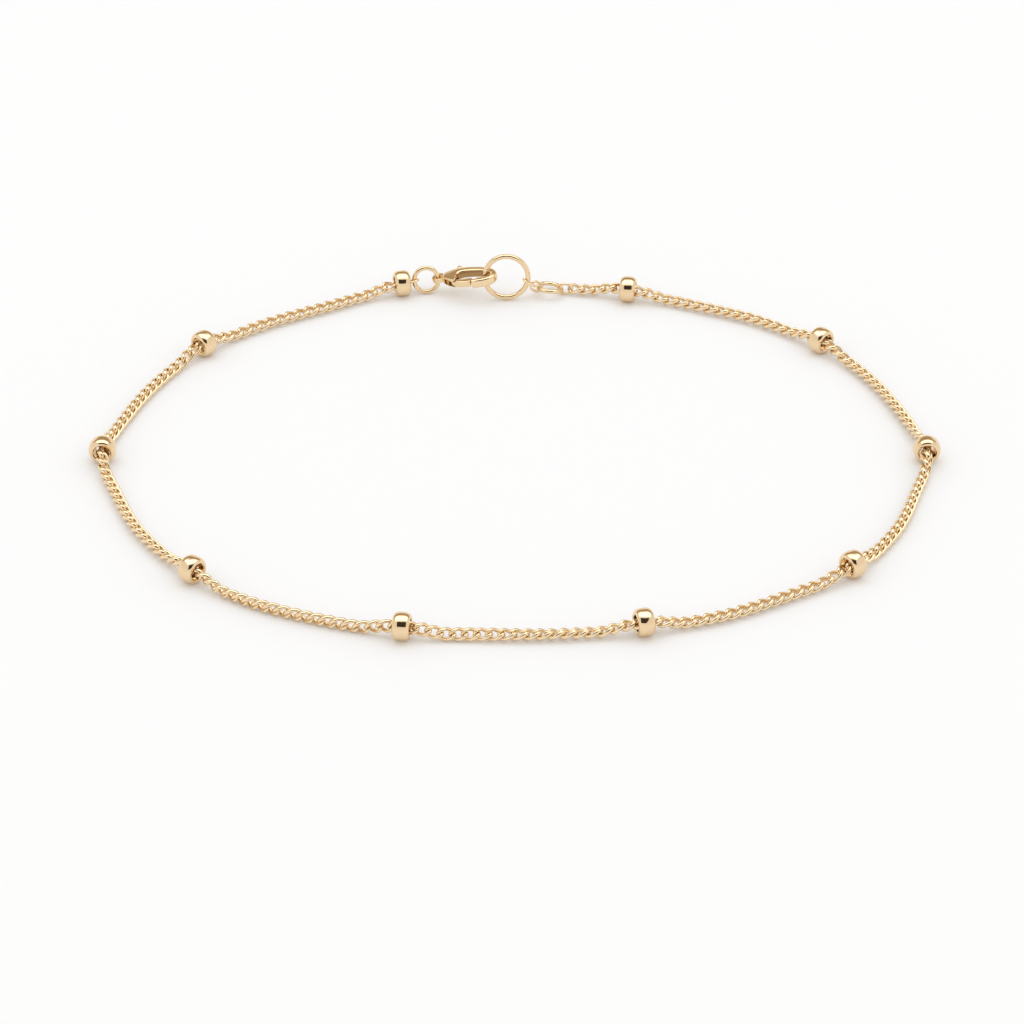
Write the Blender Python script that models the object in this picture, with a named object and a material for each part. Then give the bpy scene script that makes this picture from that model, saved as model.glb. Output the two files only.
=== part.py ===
"""A fastened satellite chain bracelet, laid out on a flat surface as an oval loop.

Ten bored beads are spaced along a fine curb chain. The chain's two ends meet in small rings, and a lobster
clasp with a sprung lever joins them through one larger ring. Metres, +Z up. The origin is in the middle of
the loop, on the surface that the bracelet lies on, and the clasp is at the back, towards +Y.
"""

import math

import bmesh
import bpy
from mathutils import Matrix, Vector

MM = 0.001

# Chain: the tube has the links' width as its diameter
CHAIN_DIAMETER = 0.90 * MM
CHAIN_BEVEL_STEPS = 2
CHAIN_LIFT_OFF_SURFACE = 0.06 * MM

# Where the points of one stretch of chain lie: this far along it from each bead, then evenly in between
POINTS_BESIDE_BEAD = (0.15 * MM, 0.85 * MM, 2.10 * MM, 3.60 * MM)
POINTS_BETWEEN = 2

# Bead: a short barrel with flat ends and a wide bore
BEAD_DIAMETER = 2.10 * MM
BEAD_LENGTH = 1.26 * MM
BEAD_BAND = 0.34 * MM
BEAD_END_DIAMETER = 1.66 * MM
BEAD_BORE = 1.26 * MM
BEAD_BORE_CHAMFER = 0.07 * MM
BEAD_SIDES = 24
BEAD_ROUNDING_STEPS = 3
BEAD_SHARP_ANGLE = 30

# A flat side of the barrel lies on the surface, so the centre is a little lower than the radius
BEAD_CENTRE_HEIGHT = BEAD_DIAMETER / 2 * math.cos(math.pi / BEAD_SIDES)

# How the chain hangs in a bead's bore and comes down to the surface beside it
CHAIN_DROP_IN_BORE = 0.10 * MM
LEVEL_RUN = 0.75 * MM
DESCENT_END = 3.40 * MM

# Jump rings, each with its outer diameter and wire
SMALL_RING_DIAMETER = 2.34 * MM
SMALL_RING_WIRE = 0.36 * MM
LARGE_RING_DIAMETER = 3.94 * MM
LARGE_RING_WIRE = 0.42 * MM
RING_STEPS = 40
RING_WIRE_SIDES = 10

# Where the rings stand: centre in millimetres, then how far the ring leans back from upright, how far its
# +X side is turned up, and how far it is turned about the upright, in degrees. A flat ring leans about 90.
RING_PLACES = {
    "small_ring_left": ((-7.20, 24.58, 1.13), 18.0, 0.0, 6.0),
    "large_ring": ((-0.66, 23.57, 1.99), 9.6, 0.0, 0.0),
    "small_ring_right": ((2.88, 24.20, 0.62), 101.0, -5.7, 0.0),
}

# The single oval links at the chain's ends, which hold the rings
END_LINK_LENGTH = 1.38 * MM
END_LINK_WIDTH = 0.96 * MM
END_LINK_WIRE = 0.20 * MM
END_LINK_STEPS = 28
END_LINK_BEVEL_STEPS = 2
END_LINK_PLAY = 0.06 * MM

# Where other pieces hold on to the rings, in degrees round the ring from its +X side
PLUS_X_SIDE = 0
MINUS_X_SIDE = 180
EYE_ON_SMALL_RING = 5
LINK_ON_LARGE_RING = -14
LINK_ON_SMALL_RING = 194

# Clasp, in its own flat outline: +X from the eye to the nose, +Y towards the spine and away from the lever
CLASP_THICKNESS = 0.76 * MM
CLASP_EDGE_ROUNDING = 0.10 * MM
CLASP_TILT = 3.0
EYE_RADIUS = 0.58 * MM
EYE_HOLE_RADIUS = 0.35 * MM
EYE_THICKNESS = 0.36 * MM
EYE_SCOOP_RADIUS = 1.10 * MM
EYE_SCOOP_X = -0.10 * MM
RING_WIRE_FROM_EYE = 3.98 * MM
SLOT_START = 0.70 * MM
SLOT_END = 1.66 * MM
SLOT_HEIGHT = 0.44 * MM
SLOT_MOUTH_END = 1.86 * MM
SLOT_MOUTH_SIDE = 0.10 * MM
GATE_GAP_END = 3.20 * MM
GATE_GAP_INNER = -0.40 * MM
HINGE_X = 1.10 * MM
HINGE_Y = -0.05 * MM
HINGE_PIN_RADIUS = 0.13 * MM
HINGE_CLEARANCE = 0.05 * MM
HUB_RADIUS = 0.28 * MM
LEVER_THICKNESS = 0.36 * MM
GATE_THICKNESS = 0.56 * MM
LEVER_EDGE_ROUNDING = 0.05 * MM
THUMB_TAB_DISTANCE = 1.40 * MM
THUMB_TAB_RADIUS = 0.21 * MM
THUMB_TAB_ANGLE = 76.7
THUMB_STEM_WIDTH = 0.26 * MM
TONGUE_NOTCH_END = 3.56 * MM
TONGUE_NOTCH_OUTER = -0.88 * MM
CIRCLE_SIDES = 24
ROUNDING_SEGMENTS = 2
CLASP_SHARP_ANGLE = 40

# Points of the clasp's outlines, in millimetres, that a smooth closed curve runs through
BODY_OUTLINE = (
    (0.30, 0.28),
    (0.70, 0.62),
    (1.20, 0.90),
    (1.75, 1.08),
    (2.40, 1.17),
    (3.20, 1.14),
    (4.00, 1.02),
    (4.62, 0.72),
    (4.96, 0.24),
    (5.00, -0.22),
    (4.72, -0.72),
    (4.15, -1.04),
    (3.30, -1.20),
    (2.40, -1.22),
    (1.60, -1.08),
    (1.00, -0.80),
    (0.60, -0.50),
    (0.30, -0.28),
)
OPENING_OUTLINE = (
    (1.64, 0.00),
    (1.76, 0.34),
    (2.20, 0.50),
    (3.00, 0.54),
    (3.76, 0.51),
    (4.28, 0.30),
    (4.45, -0.02),
    (4.30, -0.36),
    (3.80, -0.50),
    (3.00, -0.52),
    (2.20, -0.50),
    (1.76, -0.36),
)
OUTLINE_STEPS = 3

# Corners of the lever's gate: its arm in the slot, its bar beside it, and the tongue under the hook's tip
GATE_ARM = (
    (1.02, -0.28),
    (1.34, -0.86),
    (1.60, -1.04),
    (2.30, -1.06),
    (2.30, -0.72),
    (1.62, -0.66),
    (1.36, -0.18),
)
GATE_BAR = ((1.76, -0.70), (1.76, -1.08), (2.40, -1.12), (3.03, -1.10), (3.12, -0.72))
GATE_TONGUE = ((2.20, -0.66), (2.20, -0.82), (3.45, -0.80), (3.45, -0.68))

# The loop's route on the surface, in millimetres, from the ring at the clasp's eye round by the left, the
# front and the right. A bead's row also gives how far the bead is turned from the chain, in degrees.
ROUTE = (
    ("chain", -8.19, 24.48, 0),
    ("bead", -9.17, 24.20, -6),
    ("chain", -11.9, 23.13, 0),
    ("chain", -15.1, 21.38, 0),
    ("chain", -20.2, 18.48, 0),
    ("bead", -24.73, 14.69, 0),
    ("chain", -27.7, 10.28, 0),
    ("chain", -29.9, 5.18, 0),
    ("bead", -31.50, -1.07, 0),
    ("chain", -30.1, -6.37, 0),
    ("chain", -27.7, -12.02, 0),
    ("bead", -23.59, -17.41, 6),
    ("chain", -19.35, -20.77, 0),
    ("chain", -13.85, -23.17, 0),
    ("bead", -8.08, -24.69, 0),
    ("chain", -2.3, -24.97, 0),
    ("chain", 3.5, -24.87, 0),
    ("bead", 9.27, -24.19, 6),
    ("chain", 15.0, -22.62, 0),
    ("chain", 20.3, -19.80, 0),
    ("bead", 24.77, -16.75, -6),
    ("chain", 28.3, -11.62, 0),
    ("chain", 30.3, -6.12, 0),
    ("bead", 31.50, -1.05, 0),
    ("chain", 29.9, 5.38, 0),
    ("chain", 27.6, 10.78, 0),
    ("bead", 24.43, 15.16, 0),
    ("chain", 19.7, 19.08, 0),
    ("chain", 14.5, 21.58, 0),
    ("chain", 11.9, 22.58, 0),
    ("bead", 9.24, 23.23, 6),
    ("chain", 7.3, 23.83, 0),
    ("chain", 4.92, 24.18, 0),
)
ROUTE_STEPS = 24


def clear_scene():
    for obj in list(bpy.data.objects):
        bpy.data.objects.remove(obj, do_unlink=True)


def gold(name, colour, roughness):
    """A polished gold whose colour and polish differ a little from piece to piece."""
    material = bpy.data.materials.new(name)
    material.use_nodes = True
    shader = material.node_tree.nodes["Principled BSDF"]
    shader.inputs["Base Color"].default_value = (*colour, 1.0)
    shader.inputs["Metallic"].default_value = 1.0
    shader.inputs["Roughness"].default_value = roughness
    material.diffuse_color = (*colour, 1.0)
    return material


def object_from_bmesh(name, shape):
    mesh = bpy.data.meshes.new(name)
    shape.to_mesh(mesh)
    shape.free()
    obj = bpy.data.objects.new(name, mesh)
    bpy.context.scene.collection.objects.link(obj)
    return obj


def shade_round(obj, degrees):
    obj.data.shade_smooth()
    obj.data.set_sharp_from_angle(angle=math.radians(degrees))


def smooth_through(points, steps, closed):
    """Points of a Catmull-Rom curve through the given points, with that many steps for each span."""
    count = len(points)
    spans = count if closed else count - 1
    found = []
    for index in range(spans):
        here = points[index]
        following = points[(index + 1) % count]
        before = points[index - 1] if closed or index > 0 else here * 2 - following
        has_after = closed or index + 2 < count
        after = points[(index + 2) % count] if has_after else following * 2 - here
        for step in range(steps):
            t = step / steps
            found.append(
                0.5 * (
                    2 * here
                    + (following - before) * t
                    + (2 * before - 5 * here + 4 * following - after) * t ** 2
                    + (3 * here - before - 3 * following + after) * t ** 3
                )
            )
    if not closed:
        found.append(points[-1].copy())
    return found


class Route:
    """The chain's path on the surface, measured along its length, with the beads' places on it."""

    def __init__(self, rows):
        corners = [Vector((x * MM, y * MM, 0.0)) for _, x, y, _ in rows]
        self.points = smooth_through(corners, ROUTE_STEPS, closed=False)
        self.lengths = [0.0]
        for start, end in zip(self.points, self.points[1:]):
            self.lengths.append(self.lengths[-1] + (end - start).length)
        self.length = self.lengths[-1]
        self.beads = [
            (self.lengths[index * ROUTE_STEPS], turn)
            for index, (kind, _, _, turn) in enumerate(rows)
            if kind == "bead"
        ]

    def flat(self, distance):
        """The point on the surface that far along the route."""
        index = 0
        while index < len(self.lengths) - 2 and self.lengths[index + 1] < distance:
            index += 1
        span = self.lengths[index + 1] - self.lengths[index]
        share = (distance - self.lengths[index]) / span
        return self.points[index].lerp(self.points[index + 1], share)

    def heading(self, distance):
        """The route's direction at that distance, as an angle from +X."""
        reach = CHAIN_DIAMETER / 2
        ahead = self.flat(distance + reach)
        behind = self.flat(distance - reach)
        return math.atan2(ahead.y - behind.y, ahead.x - behind.x)

    def height(self, distance):
        """The chain's centre is held up in a bead's bore and lies on the surface a little way from it."""
        on_surface = CHAIN_DIAMETER / 2 + CHAIN_LIFT_OFF_SURFACE
        in_bore = BEAD_CENTRE_HEIGHT - CHAIN_DROP_IN_BORE
        away = min(abs(distance - bead) for bead, _ in self.beads)
        share = (away - LEVEL_RUN) / (DESCENT_END - LEVEL_RUN)
        share = min(max(share, 0.0), 1.0)
        eased = share * share * (3 - 2 * share)
        return in_bore + (on_surface - in_bore) * eased

    def point(self, distance):
        place = self.flat(distance)
        place.z = self.height(distance)
        return place


def bead_profile():
    """The barrel's half section as (distance along the axis, radius), round the outside and the bore."""
    half = BEAD_LENGTH / 2
    band = BEAD_BAND / 2
    radius = BEAD_DIAMETER / 2
    end_radius = BEAD_END_DIAMETER / 2
    bore = BEAD_BORE / 2
    outside = []
    for step in range(BEAD_ROUNDING_STEPS + 1):
        angle = math.pi / 2 * step / BEAD_ROUNDING_STEPS
        along = band + (half - band) * math.sin(angle)
        out = end_radius + (radius - end_radius) * math.cos(angle)
        outside.append((along, out))
    inside = [(half, bore + BEAD_BORE_CHAMFER), (half - BEAD_BORE_CHAMFER, bore)]
    right = outside + inside
    left = [(-along, out) for along, out in reversed(right)]
    return right + left


def bead_mesh():
    shape = bmesh.new()
    corners = [shape.verts.new((along, 0.0, out)) for along, out in bead_profile()]
    edges = [shape.edges.new((a, b)) for a, b in zip(corners, corners[1:] + corners[:1])]
    half_side = Matrix.Rotation(math.pi / BEAD_SIDES, 3, "X")
    bmesh.ops.rotate(shape, verts=corners, cent=(0, 0, 0), matrix=half_side)
    bmesh.ops.spin(
        shape,
        geom=corners + edges,
        cent=(0, 0, 0),
        axis=(1, 0, 0),
        angle=math.tau,
        steps=BEAD_SIDES,
        use_merge=True,
    )
    bmesh.ops.remove_doubles(shape, verts=shape.verts, dist=0.001 * MM)
    bmesh.ops.recalc_face_normals(shape, faces=shape.faces)
    mesh = bpy.data.meshes.new("bead")
    shape.to_mesh(mesh)
    shape.free()
    return mesh


def add_beads(route, material):
    mesh = bead_mesh()
    mesh.materials.append(material)
    for number, (distance, turn) in enumerate(route.beads, 1):
        bead = bpy.data.objects.new(f"bead_{number:02d}", mesh)
        bpy.context.scene.collection.objects.link(bead)
        bead.location = route.flat(distance)
        bead.location.z = BEAD_CENTRE_HEIGHT
        bead.rotation_euler.z = route.heading(distance) + math.radians(turn)
    shade_round(bead, BEAD_SHARP_ANGLE)


def tube(name, points, material, diameter, bevel_steps, cyclic):
    """A round wire along the points: a closed ring of wire if cyclic, and otherwise with filled ends."""
    curve = bpy.data.curves.new(name, "CURVE")
    curve.dimensions = "3D"
    curve.bevel_depth = diameter / 2
    curve.bevel_resolution = bevel_steps
    curve.use_fill_caps = not cyclic
    spline = curve.splines.new("POLY")
    spline.points.add(len(points) - 1)
    for spline_point, place in zip(spline.points, points):
        spline_point.co = (*place, 1.0)
    spline.use_cyclic_u = cyclic
    spline.use_smooth = True
    curve.materials.append(material)
    obj = bpy.data.objects.new(name, curve)
    bpy.context.scene.collection.objects.link(obj)


def stretch_distances(start, end, ends_in_bead):
    """How far along the route the points of one stretch of chain lie, close together beside its beads."""
    near = [start + offset for offset in POINTS_BESIDE_BEAD]
    far = [end - offset for offset in reversed(POINTS_BESIDE_BEAD)] if ends_in_bead else [end]
    gap = (far[0] - near[-1]) / (POINTS_BETWEEN + 1)
    between = [near[-1] + gap * step for step in range(1, POINTS_BETWEEN + 1)]
    return near + between + far


def add_chain(route, material):
    """One stretch of chain from inside each bead's bore to inside the next, and a short one to the clasp."""
    starts = [distance for distance, _ in route.beads]
    ends = starts[1:] + [route.length]
    for number, (start, end) in enumerate(zip(starts, ends), 1):
        distances = stretch_distances(start, end, ends_in_bead=end < route.length)
        points = [route.point(distance) for distance in distances]
        tube(f"chain_{number:02d}", points, material, CHAIN_DIAMETER, CHAIN_BEVEL_STEPS, cyclic=False)


def ring_frame(name):
    """A ring's place in the world. The ring lies in the frame's XZ plane."""
    centre, lean, roll, turn = RING_PLACES[name]
    turned = Matrix.Rotation(math.radians(turn), 3, "Z")
    leaned = Matrix.Rotation(math.radians(-lean), 3, "X")
    rolled = Matrix.Rotation(math.radians(-roll), 3, "Y")
    frame = (rolled @ turned @ leaned).to_4x4()
    frame.translation = Vector(centre) * MM
    return frame


def add_ring(name, material, diameter, wire):
    bpy.ops.mesh.primitive_torus_add(
        major_segments=RING_STEPS,
        minor_segments=RING_WIRE_SIDES,
        major_radius=(diameter - wire) / 2,
        minor_radius=wire / 2,
    )
    ring = bpy.context.object
    ring.name = name
    ring.data.transform(Matrix.Rotation(math.pi / 2, 4, "X"))
    ring.matrix_world = ring_frame(name)
    ring.data.materials.append(material)
    ring.data.shade_smooth()


def on_ring(name, diameter, wire, degrees):
    """The centre of a ring's wire and the wire's direction, that far round the ring from its +X side."""
    frame = ring_frame(name)
    angle = math.radians(degrees)
    radius = (diameter - wire) / 2
    place = frame @ Vector((math.cos(angle) * radius, 0.0, math.sin(angle) * radius))
    along = frame.to_3x3() @ Vector((-math.sin(angle), 0.0, math.cos(angle)))
    return place, along


def add_end_link(name, material, held_end, direction, normal):
    """An oval link whose opening starts at held_end and runs along direction, square to the normal."""
    ahead = direction.normalized()
    up = (normal - ahead * normal.dot(ahead)).normalized()
    side = up.cross(ahead)
    radius = (END_LINK_WIDTH - END_LINK_WIRE) / 2
    straight = (END_LINK_LENGTH - END_LINK_WIDTH) / 2
    centre = held_end + ahead * (END_LINK_LENGTH / 2 - END_LINK_WIRE)
    points = []
    for step in range(END_LINK_STEPS):
        angle = math.tau * (step + 0.5) / END_LINK_STEPS
        along = math.cos(angle) * radius + math.copysign(straight, math.cos(angle))
        points.append(centre + ahead * along + side * (math.sin(angle) * radius))
    tube(name, points, material, END_LINK_WIRE, END_LINK_BEVEL_STEPS, cyclic=True)


def add_left_end_link(route, material):
    """The link on the eye's ring, whose other end lies inside the first bead's bore."""
    wire, along = on_ring("small_ring_left", SMALL_RING_DIAMETER, SMALL_RING_WIRE, MINUS_X_SIDE)
    into_bead = route.point(route.beads[0][0]) - wire
    held = wire - into_bead.normalized() * (SMALL_RING_WIRE / 2 + END_LINK_PLAY)
    add_end_link("end_link_01", material, held, into_bead, along)


def add_middle_end_links(material):
    """Two links, square to each other, from the large ring to the small ring beside it."""
    large = (LARGE_RING_DIAMETER, LARGE_RING_WIRE)
    small = (SMALL_RING_DIAMETER, SMALL_RING_WIRE)
    large_wire, large_along = on_ring("large_ring", *large, LINK_ON_LARGE_RING)
    small_wire, _ = on_ring("small_ring_right", *small, LINK_ON_SMALL_RING)
    across = small_wire - large_wire
    ahead = across.normalized()
    opening = END_LINK_LENGTH - 2 * END_LINK_WIRE
    play = (2 * opening - LARGE_RING_WIRE / 2 - SMALL_RING_WIRE / 2 - across.length) / 3
    first = large_wire - ahead * (LARGE_RING_WIRE / 2 + play)
    second = first + ahead * (opening - play)
    add_end_link("end_link_02", material, first, ahead, large_along)
    add_end_link("end_link_03", material, second, ahead, ahead.cross(large_along))


def add_right_end_link(route, material):
    """The link on the right small ring, which the last stretch of chain hangs on."""
    wire, along = on_ring("small_ring_right", SMALL_RING_DIAMETER, SMALL_RING_WIRE, PLUS_X_SIDE)
    towards_chain = route.point(route.length) - wire
    held = wire - towards_chain.normalized() * (SMALL_RING_WIRE / 2 + END_LINK_PLAY)
    add_end_link("end_link_04", material, held, towards_chain, along)


def clasp_frame():
    """The clasp hangs between two rings: its eye on the left ring, its hook round the large ring's wire."""
    eye, _ = on_ring("small_ring_left", SMALL_RING_DIAMETER, SMALL_RING_WIRE, EYE_ON_SMALL_RING)
    wire, _ = on_ring("large_ring", LARGE_RING_DIAMETER, LARGE_RING_WIRE, MINUS_X_SIDE)
    ahead = (wire - eye).normalized()
    level = Vector((-ahead.y, ahead.x, 0.0)).normalized()
    upright = ahead.cross(level)
    tilt = math.radians(CLASP_TILT)
    side = level * math.cos(tilt) + upright * math.sin(tilt)
    frame = Matrix((ahead, side, ahead.cross(side))).transposed().to_4x4()
    frame.translation = wire - ahead * RING_WIRE_FROM_EYE
    return frame


def prism(name, outline, thickness, rounding=0.0):
    """A flat piece with that outline, centred on its thickness, its long edges rounded."""
    shape = bmesh.new()
    corners = [shape.verts.new((point.x, point.y, -thickness / 2)) for point in outline]
    base = shape.faces.new(corners)
    raised = bmesh.ops.extrude_face_region(shape, geom=[base])
    top = [item for item in raised["geom"] if isinstance(item, bmesh.types.BMVert)]
    bmesh.ops.translate(shape, verts=top, vec=(0, 0, thickness))
    bmesh.ops.recalc_face_normals(shape, faces=shape.faces)
    if rounding:
        rims = [
            edge
            for edge in shape.edges
            if abs(edge.verts[0].co.z - edge.verts[1].co.z) < thickness / 2
        ]
        bmesh.ops.bevel(
            shape,
            geom=rims,
            offset=rounding,
            segments=ROUNDING_SEGMENTS,
            profile=0.5,
            affect="EDGES",
        )
    return object_from_bmesh(name, shape)


def circle(centre_x, centre_y, radius):
    angles = [math.tau * step / CIRCLE_SIDES for step in range(CIRCLE_SIDES)]
    return [
        Vector((centre_x + radius * math.cos(angle), centre_y + radius * math.sin(angle), 0.0))
        for angle in angles
    ]


def in_metres(outline):
    return [Vector((x * MM, y * MM, 0.0)) for x, y in outline]


def box(name, low, high):
    shape = bmesh.new()
    bmesh.ops.create_cube(shape, size=1.0)
    for vertex in shape.verts:
        for axis in range(3):
            vertex.co[axis] = low[axis] + (high[axis] - low[axis]) * (vertex.co[axis] + 0.5)
    return object_from_bmesh(name, shape)


def combine(target, operation, other):
    """Joins another object to the target or cuts with it, for good, and removes that object."""
    modifier = target.modifiers.new(operation.lower(), "BOOLEAN")
    modifier.operation = operation
    modifier.object = other
    with bpy.context.temp_override(object=target, active_object=target):
        bpy.ops.object.modifier_apply(modifier=modifier.name)
    bpy.data.objects.remove(other, do_unlink=True)


def cut_eye(body):
    """Thins the eye with a round scoop from each side, and bores it."""
    for side in (-1, 1):
        scoop = prism("scoop", circle(0, 0, EYE_SCOOP_RADIUS), 4 * EYE_RADIUS)
        scoop.data.transform(Matrix.Rotation(math.pi / 2, 4, "X"))
        rise = side * (EYE_THICKNESS / 2 + EYE_SCOOP_RADIUS)
        scoop.data.transform(Matrix.Translation((EYE_SCOOP_X, 0.0, rise)))
        combine(body, "DIFFERENCE", scoop)
    combine(body, "DIFFERENCE", prism("eye_hole", circle(0, 0, EYE_HOLE_RADIUS), 2 * EYE_THICKNESS))


def cut_lever_room(body):
    """Opens the near side for the gate, the slot that the lever turns in, and the notch for its tongue."""
    far = 2 * CLASP_THICKNESS
    half_slot = SLOT_HEIGHT / 2
    notch_start = GATE_GAP_END - CLASP_EDGE_ROUNDING
    rooms = (
        ("gate_gap", (SLOT_END, -far, -far), (GATE_GAP_END, GATE_GAP_INNER, far)),
        ("slot", (SLOT_START, -far, -half_slot), (SLOT_END, far, half_slot)),
        ("slot_mouth", (SLOT_START, -far, -half_slot), (SLOT_MOUTH_END, SLOT_MOUTH_SIDE, half_slot)),
        ("notch", (notch_start, TONGUE_NOTCH_OUTER, -far), (TONGUE_NOTCH_END, GATE_GAP_INNER, far)),
    )
    for name, low, high in rooms:
        combine(body, "DIFFERENCE", box(name, low, high))


def add_clasp_body(frame, material):
    outline = smooth_through(in_metres(BODY_OUTLINE), OUTLINE_STEPS, closed=True)
    body = prism("clasp_body", outline, CLASP_THICKNESS, CLASP_EDGE_ROUNDING)
    combine(body, "UNION", prism("eye", circle(0, 0, EYE_RADIUS), EYE_THICKNESS, CLASP_EDGE_ROUNDING))
    opening = smooth_through(in_metres(OPENING_OUTLINE), OUTLINE_STEPS, closed=True)
    combine(body, "DIFFERENCE", prism("opening", opening, 2 * CLASP_THICKNESS))
    cut_lever_room(body)
    cut_eye(body)
    pin_length = (CLASP_THICKNESS + SLOT_HEIGHT) / 2
    combine(body, "UNION", prism("pin", circle(HINGE_X, HINGE_Y, HINGE_PIN_RADIUS), pin_length))
    body.matrix_world = frame
    body.data.materials.append(material)
    shade_round(body, CLASP_SHARP_ANGLE)


def thumb_stem(hinge, tab):
    """The stem's corners, from the hinge out to the middle of the thumb tab."""
    out = (tab - hinge).normalized()
    side = Vector((-out.y, out.x, 0.0)) * THUMB_STEM_WIDTH / 2
    return [hinge - side, tab - side, tab + side, hinge + side]


def add_clasp_lever(frame, material):
    """The lever's own origin is on the hinge pin, and its gate swings inwards about +Z."""
    hinge = Vector((HINGE_X, HINGE_Y, 0.0))
    tab_angle = math.radians(THUMB_TAB_ANGLE)
    tab = hinge + Vector((math.cos(tab_angle), math.sin(tab_angle), 0.0)) * THUMB_TAB_DISTANCE
    bore = HINGE_PIN_RADIUS + HINGE_CLEARANCE
    lever = prism("clasp_lever", circle(HINGE_X, HINGE_Y, HUB_RADIUS), LEVER_THICKNESS)
    additions = (
        prism("stem", thumb_stem(hinge, tab), LEVER_THICKNESS),
        prism("tab", circle(tab.x, tab.y, THUMB_TAB_RADIUS), GATE_THICKNESS, LEVER_EDGE_ROUNDING),
        prism("arm", in_metres(GATE_ARM), LEVER_THICKNESS),
        prism("bar", in_metres(GATE_BAR), GATE_THICKNESS, LEVER_EDGE_ROUNDING),
        prism("tongue", in_metres(GATE_TONGUE), LEVER_THICKNESS - 2 * LEVER_EDGE_ROUNDING),
    )
    for piece in additions:
        combine(lever, "UNION", piece)
    combine(lever, "DIFFERENCE", prism("bore", circle(HINGE_X, HINGE_Y, bore), 2 * LEVER_THICKNESS))
    lever.data.transform(Matrix.Translation(-hinge))
    lever.matrix_world = frame @ Matrix.Translation(hinge)
    lever.data.materials.append(material)
    shade_round(lever, CLASP_SHARP_ANGLE)


def main():
    clear_scene()
    route = Route(ROUTE)
    bead_gold = gold("bead_gold", (0.93, 0.72, 0.42), 0.08)
    chain_gold = gold("chain_gold", (0.90, 0.66, 0.36), 0.16)
    clasp_gold = gold("clasp_gold", (0.92, 0.70, 0.40), 0.14)
    add_beads(route, bead_gold)
    add_chain(route, chain_gold)
    add_ring("small_ring_left", clasp_gold, SMALL_RING_DIAMETER, SMALL_RING_WIRE)
    add_ring("large_ring", clasp_gold, LARGE_RING_DIAMETER, LARGE_RING_WIRE)
    add_ring("small_ring_right", clasp_gold, SMALL_RING_DIAMETER, SMALL_RING_WIRE)
    add_left_end_link(route, chain_gold)
    add_middle_end_links(chain_gold)
    add_right_end_link(route, chain_gold)
    frame = clasp_frame()
    add_clasp_body(frame, clasp_gold)
    add_clasp_lever(frame, clasp_gold)


main()
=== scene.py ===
"""The looks of a fastened satellite chain bracelet, laid out as an oval loop on a pale surface.

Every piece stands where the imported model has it: curb links along the chain's route, bored barrel beads,
jump rings and end links, and a lobster clasp with a sprung lever. Metres, +Z up, the clasp towards +Y.
"""

import math
import random

import bmesh
import bpy
from mathutils import Matrix, Vector


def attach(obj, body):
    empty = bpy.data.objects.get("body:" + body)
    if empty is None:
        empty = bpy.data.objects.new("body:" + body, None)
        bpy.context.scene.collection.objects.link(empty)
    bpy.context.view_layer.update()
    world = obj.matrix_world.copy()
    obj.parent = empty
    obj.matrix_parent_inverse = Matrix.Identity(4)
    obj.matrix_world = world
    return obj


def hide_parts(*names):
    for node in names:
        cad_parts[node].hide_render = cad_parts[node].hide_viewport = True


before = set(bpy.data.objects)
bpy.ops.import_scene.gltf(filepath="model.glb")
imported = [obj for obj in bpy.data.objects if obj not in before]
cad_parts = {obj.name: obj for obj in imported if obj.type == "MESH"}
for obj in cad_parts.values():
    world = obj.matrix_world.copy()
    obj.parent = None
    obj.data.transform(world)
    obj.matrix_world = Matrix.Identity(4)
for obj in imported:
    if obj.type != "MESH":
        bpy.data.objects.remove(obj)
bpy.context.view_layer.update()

MM = 0.001

# Camera: how high it looks down from, its distance, and the point on the surface in the picture's middle
CAMERA_ELEVATION = math.radians(33.3)
CAMERA_DISTANCE = 308.7 * MM
CAMERA_LENS = 144.5
CAMERA_TARGET = Vector((-0.2, -8.22, 0.0)) * MM
CAMERA_SEES_FROM = 0.01
CAMERA_SEES_TO = 20.0

# Floor: a pale board with hardly darker fibres, a hair below the beads so that the two don't flicker
FLOOR_SIZE = 6.0
FLOOR_DROP = 0.01 * MM
FLOOR_COLOUR = (0.965, 0.963, 0.962)
FIBRE_SHADE = 0.995

# Room: a light tent's brightness by the height of the direction, from the horizon up
ROOM_LEVELS = ((0.0, 1.0), (0.10, 0.98), (0.30, 0.92), (1.0, 0.88))
ROOM_TINT = (1.0, 0.985, 0.96)

# The softbox overhead and the cards that the metal sees, each as its direction's height in degrees over the
# front horizon, its distance, its width and its depth
SOFTBOX = (98.0, 0.60, 1.00, 0.48)
SOFTBOX_COLOUR = (0.90, 1.0, 1.14)
SOFTBOX_RADIANCE = 0.50
SHEET_COLOUR = (2.0, 2.0, 2.0)
DARK_CARD = (46.0, 0.36, 0.40, 0.26)
DARK_CARD_COLOUR = (0.050, 0.040, 0.032)
BACK_CARD = (144.0, 1.20, 3.00, 0.56)
BACK_CARD_COLOUR = (0.45, 0.345, 0.22)

# The golds, each with its lighter and its darker tone
BEAD_TONES = ((0.89, 0.69, 0.45), (0.85, 0.64, 0.39))
WIRE_TONES = ((0.94, 0.76, 0.51), (0.90, 0.69, 0.43))
CAST_TONES = ((0.90, 0.70, 0.45), (0.85, 0.64, 0.38))
# Painted shade: the dark brown given to the hook's inside, standing in for the shadow between its walls
HOOK_PAINTED_SHADE_TONE = (0.46, 0.28, 0.13)

# Chain: a twisted curb of oval links, all alike, each rolled very slightly off its neighbours
LINK_LENGTH = 1.54 * MM
LINK_WIDTH = 1.11 * MM
LINK_SQUARENESS = 2.35
LINK_WIRE = 0.33 * MM
LINK_WIRE_DEPTH = 1.3
LINK_PITCH = 0.88 * MM
LINK_TWIST = math.radians(-152)
LINK_STEPS = 16
LINK_WIRE_CORNERS = 4
LINK_JITTER = math.radians(3.0)
LINK_JITTER_SEED = 7
FIRST_LINK_AT = 1.20 * MM
LAST_LINK_BEFORE_END = 0.15 * MM

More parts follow.
